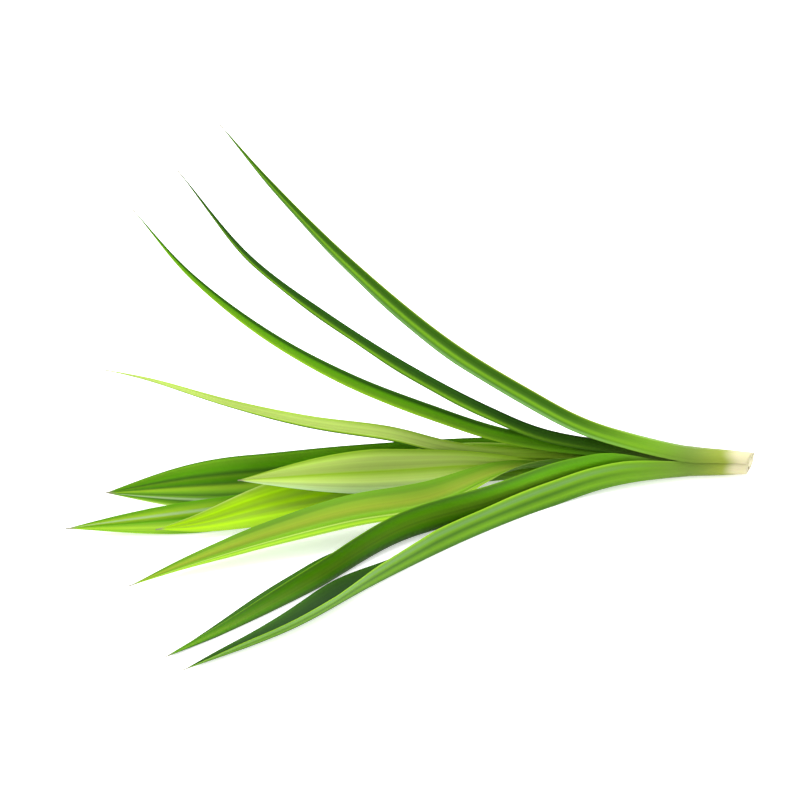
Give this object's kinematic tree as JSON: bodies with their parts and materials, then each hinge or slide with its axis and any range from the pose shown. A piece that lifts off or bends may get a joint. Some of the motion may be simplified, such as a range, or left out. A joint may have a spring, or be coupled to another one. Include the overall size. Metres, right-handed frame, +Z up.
{
  "type": "pandan leaf shoot",
  "caption": "Cut pandan shoot lying on its side: long keeled leaves in three ranks fan out from one sheathed base.",
  "frame": {"origin": "on the table, under the middle of the shoot's box", "axes": "+Z up, +X from the leaf tips towards the cut end, -Y the side towards which the front rank of leaves splays"},
  "size_m": [0.484, 0.2466, 0.2751],
  "materials": {
    "outer_leaf": "fresh leaf, waxy satin, deep green",
    "middle_leaf": "fresh leaf, waxy satin, mid green",
    "young_leaf": "young leaf, waxy satin, lime green",
    "pale_stem": "fresh cut pith, matt, cream"
  },
  "bodies": {
    "root": {"stem_core": "pale_stem", "upper_leaf_1": "outer_leaf", "upper_leaf_2": "outer_leaf", "upper_leaf_3": "middle_leaf", "upper_leaf_4": "young_leaf", "front_leaf_1": "outer_leaf", "front_leaf_2": "outer_leaf", "front_leaf_3": "middle_leaf", "back_leaf_1": "middle_leaf", "back_leaf_2": "middle_leaf", "back_leaf_3": "young_leaf", "back_leaf_4": "young_leaf"}
  },
  "joints": []
}
